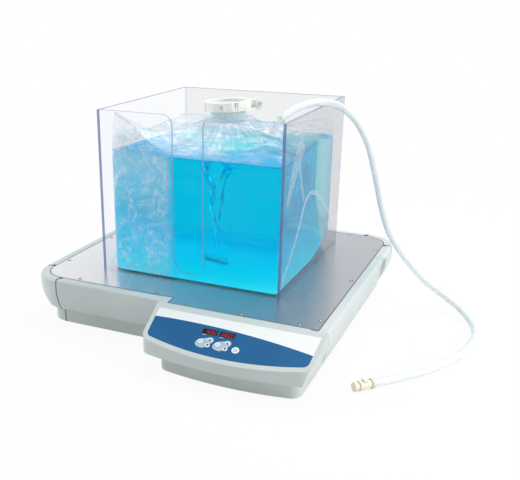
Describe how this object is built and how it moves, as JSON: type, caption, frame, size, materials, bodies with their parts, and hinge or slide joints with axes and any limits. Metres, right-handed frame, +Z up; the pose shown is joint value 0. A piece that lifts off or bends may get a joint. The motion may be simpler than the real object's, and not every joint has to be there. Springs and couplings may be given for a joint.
{
  "type": "magnetic stirrer with mixing tank",
  "caption": "Flat magnetic stirrer with a steel plate and sloped control panel, carrying a clear slotted tank with a filled mixing bag, clamp port and drain hose.",
  "frame": {"origin": "on the table, under the middle of the stirrer's footprint, measured without the hose", "axes": "+Z up, +X to the right, the control panel faces -Y"},
  "size_m": [0.665, 0.525, 0.3479],
  "materials": {
    "casing": "satin",
    "pan_steel": "matte",
    "rubber_black": "matte",
    "screw_steel": "satin",
    "plate_steel": "satin",
    "membrane": "satin",
    "display_black": "gloss",
    "board_green": "satin",
    "key_white": "satin",
    "motor_black": "satin",
    "motor_alloy": "satin",
    "copper": "satin",
    "bright_steel": "polished",
    "rotor_iron": "matte",
    "clear_sheet": "gloss",
    "bag_film": "gloss",
    "blue_liquid": "gloss",
    "bar_white": "satin",
    "port_clear": "gloss",
    "gasket_white": "satin",
    "cap_grey": "satin",
    "clamp_ivory": "satin",
    "tie_green": "satin",
    "hose_clear": "satin",
    "coupling_cream": "satin",
    "latch_white": "satin"
  },
  "bodies": {
    "base": {"base_pan": "pan_steel", "rubber_feet": "rubber_black", "pan_screws": "screw_steel", "top_plate": "plate_steel", "plate_screws": "screw_steel", "front_rail": "casing", "left_rail": "casing", "back_rail": "casing", "right_rail": "casing", "corner_front_left": "casing", "corner_back_left": "casing", "corner_back_right": "casing", "control_housing": "casing", "control_skirt": "casing", "membrane_panel": "membrane", "display_left": "display_black", "display_right": "display_black", "control_board": "board_green", "power_board": "board_green", "power_inlet": "display_black", "motor_bracket": "pan_steel", "bracket_screws": "screw_steel", "motor_can": "motor_black", "motor_end_bell": "motor_alloy", "motor_stator": "copper", "motor_bearings": "bright_steel"},
    "drive": {"motor_shaft": "bright_steel", "motor_rotor": "rotor_iron", "magnet_carrier": "motor_alloy", "drive_magnets": "rotor_iron"},
    "key_left_set_body": {"key_left_set": "key_white"},
    "key_left_up_body": {"key_left_up": "key_white"},
    "key_left_down_body": {"key_left_down": "key_white"},
    "key_right_set_body": {"key_right_set": "key_white"},
    "key_right_up_body": {"key_right_up": "key_white"},
    "key_right_down_body": {"key_right_down": "key_white"},
    "key_on_off_body": {"key_on_off": "key_white"},
    "tank": {"tank_floor_panel": "clear_sheet", "tank_left_panel": "clear_sheet", "tank_right_panel": "clear_sheet", "tank_front_panel": "clear_sheet", "tank_back_panel": "clear_sheet"},
    "bag": {"bag_film": "bag_film", "bag_liquid": "blue_liquid", "port_spout": "port_clear", "port_gasket": "gasket_white", "port_cap": "cap_grey", "clamp_front_half": "clamp_ivory", "clamp_back_half": "clamp_ivory", "clamp_hinge_pin": "screw_steel", "clamp_bolt": "screw_steel", "hose_port": "port_clear", "hose_tie_port": "tie_green", "hose": "hose_clear", "hose_tie_end": "tie_green", "coupling_body": "coupling_cream", "coupling_plug": "coupling_cream"},
    "stir_bar_body": {"stir_bar": "bar_white"},
    "clamp_nut_body": {"clamp_nut": "clamp_ivory"},
    "coupling_latch_body": {"coupling_latch": "latch_white"}
  },
  "joints": [
    {"name": "drive_spin", "type": "hinge", "parent": "base", "child": "drive", "pos_m": [0, 0.0445, 0.06], "axis": [0, 0, 1], "continuous": true},
    {"name": "left_set_press", "type": "slide", "parent": "base", "child": "key_left_set_body", "axis": [0, 0.4226, -0.9063], "range_m": [0, 0.0006], "stiffness_N_per_m": 800},
    {"name": "left_up_press", "type": "slide", "parent": "base", "child": "key_left_up_body", "axis": [0, 0.4226, -0.9063], "range_m": [0, 0.0006], "stiffness_N_per_m": 800},
    {"name": "left_down_press", "type": "slide", "parent": "base", "child": "key_left_down_body", "axis": [0, 0.4226, -0.9063], "range_m": [0, 0.0006], "stiffness_N_per_m": 800},
    {"name": "right_set_press", "type": "slide", "parent": "base", "child": "key_right_set_body", "axis": [0, 0.4226, -0.9063], "range_m": [0, 0.0006], "stiffness_N_per_m": 800},
    {"name": "right_up_press", "type": "slide", "parent": "base", "child": "key_right_up_body", "axis": [0, 0.4226, -0.9063], "range_m": [0, 0.0006], "stiffness_N_per_m": 800},
    {"name": "right_down_press", "type": "slide", "parent": "base", "child": "key_right_down_body", "axis": [0, 0.4226, -0.9063], "range_m": [0, 0.0006], "stiffness_N_per_m": 800},
    {"name": "on_off_press", "type": "slide", "parent": "base", "child": "key_on_off_body", "axis": [0, 0.4226, -0.9063], "range_m": [0, 0.0006], "stiffness_N_per_m": 800},
    {"name": "tank_lift", "type": "slide", "parent": "base", "child": "tank", "axis": [0, 0, 1], "range_m": [0, 0.3]},
    {"name": "bag_lift", "type": "slide", "parent": "tank", "child": "bag", "axis": [0, 0, 1], "range_m": [0, 0.3]},
    {"name": "stir_spin", "type": "hinge", "parent": "bag", "child": "stir_bar_body", "pos_m": [0, 0.0445, 0.0898], "axis": [0, 0, 1], "continuous": true},
    {"name": "nut_turn", "type": "hinge", "parent": "bag", "child": "clamp_nut_body", "pos_m": [0.0445, 0.06623, 0.33433], "axis": [0.6419, -0.766, 0.0336], "continuous": true},
    {"name": "latch_press", "type": "slide", "parent": "bag", "child": "coupling_latch_body", "axis": [0, 0, -1], "range_m": [0, 0.0012], "stiffness_N_per_m": 700}
  ],
  "couplings": [
    {"joint": "stir_spin", "follows": "drive_spin", "ratio": 1}
  ]
}
